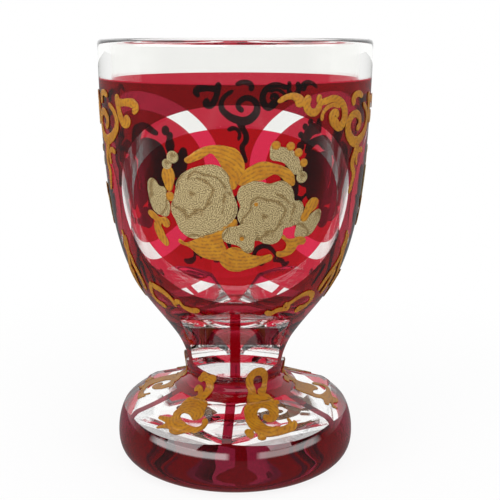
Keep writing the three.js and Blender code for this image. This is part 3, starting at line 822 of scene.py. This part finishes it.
SIDE_SCROLLS = {
    "upper_left_scroll": [
        stroke([(-35.4, 132), (-32.6, 133.4), (-30.2, 133.2), (-28.6, 131.4)], (0.7, 1.6, 2.6)),
        stroke(
            [(-26.2, 132.8), (-26.6, 130.7), (-25.7, 128.9), (-24.2, 128.3), (-22.8, 128.9),
             (-22, 130.4)],
            (1.8, 1.9, 1.9, 1.5),
        ),
        stroke(
            [(-22.3, 133), (-22, 131.6), (-19.9, 131.6), (-17.3, 132.2), (-14.5, 131.7),
             (-12.1, 129.9), (-11.1, 127.4), (-11.5, 125), (-13.3, 123.4), (-15.2, 124.3),
             (-16.6, 126.1), (-16.5, 127.7), (-15.4, 127.9), (-14.8, 127)],
            (1.4, 1.7, 1.7, 1.9, 2.1, 2.2, 2.6, 2.4, 1.9, 1.4), GOLD, 0.08,
        ),
        stroke(
            [(-20.9, 126), (-20.7, 127.8), (-19.3, 129.4), (-16.8, 130.3), (-13.8, 129.8)],
            (0.6, 0.9, 1.0, 0.8),
        ),
    ],
    "middle_scroll": [
        stroke([(-6.4, 130.3), (-6.3, 132), (-3.8, 133.1), (-0.6, 132.3)], (1.7, 1.9, 1.0)),
        stroke(
            [(1.1, 129.6), (4.9, 126.6), (5.6, 123.3), (3.4, 120.3), (0, 118.4), (-4.1, 117.7),
             (-7.6, 119.8), (-8.9, 122.5), (-8.3, 125), (-5.5, 126.8), (-2.3, 125.9), (-1.2, 123.9),
             (-2.6, 121.9)],
            (0.8, 1.6, 2.0, 2.4, 2.9, 2.6, 2.2, 2.0, 1.9, 1.7, 1.6),
        ),
        stroke(
            [(-2.2, 117.3), (-3.1, 114.6), (-4.4, 112.2), (-4.4, 109.7), (-2.9, 107.2), (-3.6, 104),
             (-4.6, 101.2)],
            (2.6, 1.8, 1.9, 1.9, 1.5, 0.9), GOLD, 0.1,
        ),
        stroke([(2.6, 114.3), (-0.2, 114.6), (-1.8, 112.6), (-1.4, 110.2)], (1.2, 1.2, 0.7)),
    ],
    "upper_right_scroll": [
        stroke(
            [(6.7, 132.2), (7.1, 129.6), (7.8, 127.1), (8.8, 125.1), (10.4, 124.1), (11.9, 125),
             (11.5, 126)],
            (1.9, 1.9, 2.2, 2.6, 1.8),
        ),
        stroke(
            [(7.6, 130.4), (10.6, 130.7), (13.1, 130.8), (15.2, 130.5), (16, 129.4), (15.2, 128)],
            (1.6, 1.8, 2.4, 2.2, 1.4), GOLD, 0.08,
        ),
    ],
    "lower_left_scroll": [
        stroke(
            [(-0.6, 87), (-0.1, 84), (-1.1, 81.6), (-0.5, 79.2), (-1.6, 76.8), (-3.2, 74.6),
             (-5.6, 72.4), (-7.4, 70.2), (-8.6, 67.6)],
            (0.8, 1.4, 1.5, 1.8, 2.1, 1.4),
        ),
        stroke(
            [(-2.2, 73.2), (-2.6, 70.4), (-3.6, 67.8), (-4.6, 65.4)],
            (1.8, 1.5, 0.9), GOLD, 0.08,
        ),
        stroke(
            [(-17.3, 61), (-14.2, 61.4), (-11.2, 62.8), (-11.2, 65), (-14, 67), (-17.6, 67.3),
             (-20.7, 66.3), (-23.4, 64.8), (-26.2, 63.8)],
            (2.2, 1.9, 1.9, 1.6, 1.4, 1.2, 1.0),
        ),
        stroke(
            [(-25.8, 64.6), (-23.9, 62.6), (-26.6, 62.5), (-29.4, 62.3), (-31.6, 61.3),
             (-34.2, 61.9)],
            (1.3, 1.5, 1.3, 1.7, 1.2), GOLD, 0.08,
        ),
    ],
    "lower_right_scroll": [
        stroke(
            [(1.4, 85.4), (1.6, 82.8), (0.8, 80.4), (1.6, 78), (2, 75.8), (3, 73), (3.8, 70),
             (3, 66.6)],
            (0.8, 1.4, 1.6, 1.9, 1.8, 1.0),
        ),
        stroke(
            [(10.8, 70.4), (8.2, 67.2), (7.4, 64.2), (9.4, 62.3), (12.4, 61.6)],
            (0.9, 1.5, 1.8, 1.9, 1.4),
        ),
        stroke(
            [(11.4, 69.6), (14, 69), (17, 67.8), (19.4, 65.8), (20.4, 63)],
            (1.6, 2.0, 1.8, 0.8), GOLD, 0.08,
        ),
        stroke(
            [(21, 64.4), (23.4, 65), (24.2, 63.4), (26.4, 62.5), (29, 62.2), (31.6, 62.6)],
            (1.2, 1.5, 1.2, 1.6, 1.7, 1.1),
        ),
    ],
}

# Scrolls on the foot: across the panel, and distance from the axis along its slope. Under
# COLLAR_FROM the distance runs on up the collar of the stem.
COLLAR_FROM = 20.36
OPEN_SCROLL = [
    petal(
        [(-3.5, 15.7), (-3.8, 17.9), (-5.2, 19.5), (-6.5, 21.3), (-8.2, 24), (-9.5, 27.5),
         (-10.1, 30.8), (-9.6, 33.6), (-8.2, 35.3), (-5.9, 36.1), (-3.4, 36.6), (-0.7, 36.6),
         (2.2, 36.3), (4.4, 35.9), (5.8, 35.4), (7, 34), (6.5, 32.8), (5.9, 33.5), (5.1, 31.2),
         (4.1, 33.5), (1.5, 34.3), (-0.7, 34.1), (-3.3, 33.3), (-4.6, 31.3), (-5, 29.2),
         (-4.8, 27.2), (-3.1, 24.7), (-1.3, 24.2), (-0.1, 25), (0.3, 26.5), (-0.7, 28),
         (-2.2, 27.6), (-3.3, 28.8), (-3.1, 30.4), (-1.8, 31.3), (0.7, 30.7), (3, 28.2), (4.3, 25),
         (4.2, 21.4), (2.8, 19.2), (0.4, 19.1), (-1.6, 18.4)],
        (-3, 28),
    ),
    stroke(
        [(-2, 17.8), (-3, 15.1), (-2.5, 12.2), (0, 10.8), (2.5, 12.2), (3.1, 14.9), (2.2, 17.4),
         (0, 18.4)],
        (1.6, 2.1, 2.3, 2.5, 2.2, 1.8, 1.6, 1.2), GOLD, 0.1,
    ),
    dot(-11.4, 34.1, 1.5, GOLD, 0.06),
    dot(-7.7, 36.2, 1.4, GOLD, 0.1),
    dot(4.9, 23.1, 1.0, GOLD, 0.06),
]
LEAFY_SCROLL = [
    petal(
        [(-1.2, 19.6), (-3, 20.6), (-4.9, 22.1), (-5.5, 24.2), (-5.4, 27.2), (-5.6, 30), (-5, 32.2),
         (-7.7, 33), (-9.4, 33.7), (-6.8, 34.7), (-5.4, 35.1), (-7.3, 36.3), (-7.4, 37.6),
         (-5.6, 36.9), (-3, 36.4), (-1.7, 37.7), (1.2, 38.2), (2.4, 37.4), (3.3, 36.3), (5.2, 35.6),
         (7.8, 35.2), (9.4, 33.9), (9.6, 31.9), (8.5, 29.4), (6.9, 28.9), (6.9, 30.4), (7.8, 31.7),
         (7.3, 33.3), (4.8, 34), (1.7, 33.2), (-0.8, 32.2), (-2.2, 31), (-2.4, 29.2), (-0.7, 28.8),
         (1.5, 29.6), (3.2, 30.7), (4.6, 30.2), (5.4, 28.3), (4.3, 25.1), (3.2, 21.7), (1, 19.5)],
        (0, 30),
    ),
    petal(
        [(-3.9, 15.4), (-2.7, 13.5), (-0.4, 11.5), (1, 12.4), (3.4, 12.2), (3.8, 13.7), (2.8, 15.3),
         (2.9, 17.2), (2.4, 19.2), (1, 20.4), (-0.2, 19.6), (0, 17.8), (-0.2, 16.1), (-1.2, 15.1),
         (-2.5, 15.9)],
        None, GOLD, 0.1,
    ),
    stroke([(-3.9, 18.2), (-2.4, 18), (-0.8, 19.2)], (1.3, 1.2, 0.9), GOLD, 0.12),
]


# Laying the enamel


ENAMEL_EDGE = 0.14
ENAMEL_HALF = 0.18
ENAMEL_GAP = 0.03


def fill_outline(shape):
    """One drawing as a flat closed curve with a rounded rim, made a mesh in the drawing plane."""
    deselect()
    bpy.ops.curve.primitive_bezier_circle_add(radius=1)
    curve = bpy.context.object
    spline = curve.data.splines[0]
    spline.bezier_points.add(len(shape["outline"]) - len(spline.bezier_points))
    for spot, corner in zip(shape["outline"], spline.bezier_points):
        corner.co = (spot[0], spot[1], 0)
        corner.handle_left_type = "AUTO"
        corner.handle_right_type = "AUTO"
    spline.resolution_u = 6
    curve.data.dimensions = "2D"
    curve.data.fill_mode = "BOTH"
    curve.data.extrude = ENAMEL_HALF - ENAMEL_EDGE
    curve.data.bevel_depth = ENAMEL_EDGE
    curve.data.bevel_resolution = 1
    bpy.ops.object.convert(target="MESH")
    return bpy.context.object


def grid_cuts(piece, gap):
    """Cuts the flat mesh along a grid, so that it can bend."""
    edit(piece)
    bpy.ops.mesh.remove_doubles(threshold=0.001)
    spots = [vertex.co.copy() for vertex in piece.data.vertices]
    for axis, normal in ((0, (1, 0, 0)), (1, (0, 1, 0))):
        low = min(spot[axis] for spot in spots)
        high = max(spot[axis] for spot in spots)
        for step in range(1, int((high - low) / gap) + 1):
            place = Vector(normal) * (low + step * gap)
            bpy.ops.mesh.select_all(action="SELECT")
            bpy.ops.mesh.bisect(plane_co=place, plane_no=normal)
    face_outwards()


def drawn_piece(name, shapes, gap=2.0):
    """All drawings of one motif, joined into one flat piece."""
    parts = []
    for shape in shapes:
        part = fill_outline(shape)
        grid_cuts(part, gap)
        drawn = part.data.attributes.new("drawn", "FLOAT_VECTOR", "POINT")
        x0, y0 = shape["middle"]
        for vertex, value in zip(part.data.vertices, drawn.data):
            rim = (ENAMEL_HALF - vertex.co.z) / ENAMEL_EDGE
            value.vector = (vertex.co.x - x0, vertex.co.y - y0, min(max(rim, 0), 1))
            vertex.co.z += shape["lift"]
        part.data.materials.clear()
        part.data.materials.append(shape["finish"])
        parts.append(part)
    deselect()
    for part in parts:
        part.select_set(True)
    bpy.context.view_layer.objects.active = parts[0]
    bpy.ops.object.join()
    piece = bpy.context.object
    piece.name = name
    return piece


def on_bowl(turn, shift=0.0):
    """Places a drawing of (across, height) on the outside of the bowl."""
    def place(spot):
        angle = math.radians(turn) + (spot.x + shift) / OVAL_ARC_RADIUS
        radius = outer_radius(spot.y) + spot.z
        return Vector((radius * math.sin(angle), -radius * math.cos(angle), spot.y))
    return place


# Enamel on the upper end of a panel stands out to meet the collar's edge.
COLLAR_LEDGE = 1.9
COLLAR_RAMP = 3
panel_slope = [shelf_end] + panel + [(COLLAR_FROM - 0.1, PANEL_TOP)]


def on_foot(turn):
    """Places a drawing of (across, distance out) on a ground panel, and above it on the collar."""
    turned = Matrix.Rotation(math.radians(turn), 3, "Z")

    def place(spot):
        if spot.y > COLLAR_FROM:
            for (far, low), (near, high) in zip(panel_slope, panel_slope[1:]):
                if near <= spot.y <= far:
                    break
            share = (far - spot.y) / (far - near)
            slope = Vector((far - near, low - high)).normalized()
            over = max(0, 1 - (spot.y - COLLAR_FROM) / COLLAR_RAMP)
            out = spot.y - slope.y * spot.z + COLLAR_LEDGE * over ** 2
            height = low + (high - low) * share + slope.x * spot.z
        else:
            height = PANEL_TOP + (COLLAR_FROM - spot.y)
            radius = outer_radius(height) + spot.z
            out = math.sqrt(max(radius ** 2 - spot.x ** 2, 0))
        return turned @ Vector((spot.x, -out, height))
    return place


def lay(flat, name, cad_node, place):
    """A copy of a flat piece, laid on the glass."""
    piece = flat.copy()
    piece.data = flat.data.copy()
    bpy.context.scene.collection.objects.link(piece)
    piece.name = name
    for vertex in piece.data.vertices:
        lifted = vertex.co + Vector((0, 0, ENAMEL_HALF + ENAMEL_GAP))
        vertex.co = place(lifted) * MM
    edit(piece)
    face_outwards()
    bpy.ops.object.shade_smooth_by_angle(angle=ENAMEL_SMOOTHING)
    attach(piece, "root")
    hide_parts(cad_node)


for motif, shapes in BOUQUET.items():
    flat = drawn_piece(motif, shapes)
    for index, turn in enumerate(OVAL_TURNS):
        cad_node = f"oval_{index + 1}_{motif}"
        lay(flat, f"{cad_node}_enamel", cad_node, on_bowl(turn))
    bpy.data.objects.remove(flat)

SIDE_TURNS = (58, 180, 302)
SIDE_SHIFTS = (3, 0, -3)
for motif, shapes in SIDE_SCROLLS.items():
    flat = drawn_piece(motif, shapes)
    for index, (turn, shift) in enumerate(zip(SIDE_TURNS, SIDE_SHIFTS)):
        cad_node = f"side_{index + 1}_{motif}"
        lay(flat, f"{cad_node}_enamel", cad_node, on_bowl(turn, shift))
    bpy.data.objects.remove(flat)

scrolls = (
    drawn_piece("open_scroll", OPEN_SCROLL, 1.0),
    drawn_piece("leafy_scroll", LEAFY_SCROLL, 1.0),
)
for index, turn in enumerate(PANEL_TURNS):
    cad_node = f"foot_scroll_{index + 1}"
    lay(scrolls[index % 2], f"{cad_node}_enamel", cad_node, on_foot(turn))
for flat in scrolls:
    bpy.data.objects.remove(flat)


# Floor, background, lamps and camera


FLOOR_SIZE = 8
FLOOR_COLOUR = (0.93, 0.93, 0.93, 1)
FLOOR_NEAR_FOOT = 0.87
FLOOR_MIRRORED = 0.22
FLOOR_IN_FRONT = 0.2


def floor_finish():
    """A pale floor, shown white a little way off. It is dimmer where gloss mirrors it, and where it
    is seen through glass in front of the goblet."""
    material, tree, shader = new_material("pale_floor")
    shader.inputs["Base Color"].default_value = FLOOR_COLOUR
    shader.inputs["Roughness"].default_value = 0.8
    path = node(tree, "ShaderNodeLightPath")
    direct = path.outputs["Is Camera Ray"]
    bent = path.outputs["Is Transmission Ray"]
    unseen = maths(tree, "SUBTRACT", 1.0, maths(tree, "MAXIMUM", direct, bent))
    mirrored = maths(tree, "MULTIPLY", path.outputs["Is Glossy Ray"], unseen)

    place = node(tree, "ShaderNodeTexCoord").outputs["Object"]
    away = node(tree, "ShaderNodeVectorMath", operation="LENGTH")
    tree.links.new(place, away.inputs[0])
    far = soft_step(tree, away.outputs["Value"], edge=0.13, blur=0.2)
    in_front = under_step(tree, parts_of(tree, place)[1], edge=-0.1, blur=0.1)
    whitened = maths(tree, "MULTIPLY", direct, raised_from(tree, FLOOR_NEAR_FOOT, far))
    whitened = maths(tree, "MAXIMUM", whitened, bent)

    bent_in_front = maths(tree, "MULTIPLY", bent, in_front)
    dim_bent = maths(tree, "MULTIPLY", bent_in_front, FLOOR_IN_FRONT - 1.0)
    dim_mirrored = maths(tree, "MULTIPLY", mirrored, FLOOR_MIRRORED - 1.0)
    dimmed = maths(tree, "ADD", dim_bent, dim_mirrored)
    glow = node(tree, "ShaderNodeEmission")
    tree.links.new(maths(tree, "ADD", dimmed, 1.0), glow.inputs["Strength"])

    blend = node(tree, "ShaderNodeMixShader")
    tree.links.new(maths(tree, "MAXIMUM", whitened, mirrored), blend.inputs[0])
    tree.links.new(shader.outputs[0], blend.inputs[1])
    tree.links.new(glow.outputs[0], blend.inputs[2])
    tree.links.new(blend.outputs[0], tree.nodes["Material Output"].inputs["Surface"])
    return material


deselect()
bpy.ops.mesh.primitive_plane_add(size=FLOOR_SIZE, location=(0, 0, 0))
floor = bpy.context.object
floor.name = "floor"
floor.data.materials.append(floor_finish())

WINDOW_LOW = 0.03
WINDOW_HIGH = 0.27
LEFT_WINDOW_EDGE = -0.12
RIGHT_WINDOW_EDGE = 0.36
WINDOW_GLOW = 8.0
RIGHT_WINDOW_SHARE = 0.7
SOFT_LIGHT = 0.45
MIRRORED_IN_FRONT = 0.05
BENT_IN_FRONT = 0.15


def white_surround():
    """White where it is seen, and dimmer in front where glass bends the view there. Gloss mirrors
    two low windows in front and a pale wall behind."""
    world = bpy.data.worlds.new("white_surround")
    world.use_nodes = True
    tree = world.node_tree
    path = node(tree, "ShaderNodeLightPath")
    glossy = path.outputs["Is Glossy Ray"]
    bent = path.outputs["Is Transmission Ray"]
    sideways, back, up = parts_of(tree, node(tree, "ShaderNodeTexCoord").outputs["Generated"])

    in_front = under_step(tree, back, edge=-0.1, blur=0.2)
    low = soft_step(tree, up, WINDOW_LOW, blur=0.06)
    row = maths(tree, "MULTIPLY", under_step(tree, up, WINDOW_HIGH, blur=0.08), low)
    row = maths(tree, "MULTIPLY", in_front, row)
    left = under_step(tree, sideways, LEFT_WINDOW_EDGE, blur=0.08)
    right = soft_step(tree, sideways, RIGHT_WINDOW_EDGE, blur=0.08)
    right = maths(tree, "MULTIPLY", right, RIGHT_WINDOW_SHARE)
    windows = maths(tree, "MULTIPLY", row, maths(tree, "ADD", left, right))
    wall = raised_from(tree, MIRRORED_IN_FRONT, soft_step(tree, back, edge=0.3, blur=0.7))
    mirrored = maths(tree, "MULTIPLY_ADD", windows, WINDOW_GLOW, wall)
    soft = maths(tree, "MULTIPLY", maths(tree, "SUBTRACT", 1.0, glossy), SOFT_LIGHT)
    base = maths(tree, "ADD", maths(tree, "MULTIPLY", glossy, mirrored), soft)
    base = maths(tree, "MULTIPLY", base, maths(tree, "SUBTRACT", 1.0, bent))

    behind = raised_from(tree, BENT_IN_FRONT, soft_step(tree, back, edge=-0.1, blur=0.4))
    through = maths(tree, "MULTIPLY", bent, behind)
    shown = maths(tree, "MAXIMUM", path.outputs["Is Camera Ray"], through)
    strength = maths(tree, "MAXIMUM", base, shown)
    tree.links.new(strength, tree.nodes["Background"].inputs["Strength"])
    tree.nodes["Background"].inputs["Color"].default_value = (1, 1, 1, 1)
    return world


bpy.context.scene.world = white_surround()

GOBLET_MIDDLE = Vector((0, 0, 0.07))


def softbox(name, azimuth, elevation, distance, width, height, power, colour=(1, 1, 1)):
    """An area lamp facing the goblet. Azimuth 0 is in front, towards -Y, and grows towards +X."""
    light = bpy.data.lights.new(name, "AREA")
    light.shape = "RECTANGLE"
    light.size = width
    light.size_y = height
    light.energy = power
    light.color = colour
    lamp = bpy.data.objects.new(name, light)
    bpy.context.scene.collection.objects.link(lamp)
    a = math.radians(azimuth)
    e = math.radians(elevation)
    away = Vector((math.sin(a) * math.cos(e), -math.cos(a) * math.cos(e), math.sin(e)))
    lamp.location = away * distance + GOBLET_MIDDLE
    lamp.rotation_euler = away.to_track_quat("Z", "Y").to_euler()
    lamp.visible_camera = False
    lamp.visible_transmission = False


softbox(
    "left_window", azimuth=-52, elevation=24, distance=0.9,
    width=0.5, height=0.42, power=3.6, colour=(0.97, 0.98, 1.0),
)
softbox(
    "right_window", azimuth=44, elevation=24, distance=0.95,
    width=0.36, height=0.36, power=2, colour=(0.95, 0.97, 1.0),
)
softbox("overhead", azimuth=10, elevation=75, distance=1.1, width=0.9, height=0.9, power=4.5)

CAMERA_TILT = 0.231

view = bpy.data.cameras.new("photo_view")
view.lens = 66.96
view.sensor_width = 36
view.shift_x = 0.0296
camera = bpy.data.objects.new("photo_view", view)
bpy.context.scene.collection.objects.link(camera)
camera.location = (0, -0.3265, 0.1525)
camera.rotation_euler = (math.pi / 2 - CAMERA_TILT, 0, 0)
bpy.context.scene.camera = camera

scene = bpy.context.scene
scene.view_settings.view_transform = "Standard"
scene.cycles.max_bounces = 24
scene.cycles.transmission_bounces = 24
scene.cycles.glossy_bounces = 12
scene.cycles.diffuse_bounces = 3
scene.cycles.transparent_max_bounces = 8
scene.cycles.sample_clamp_indirect = 4.0
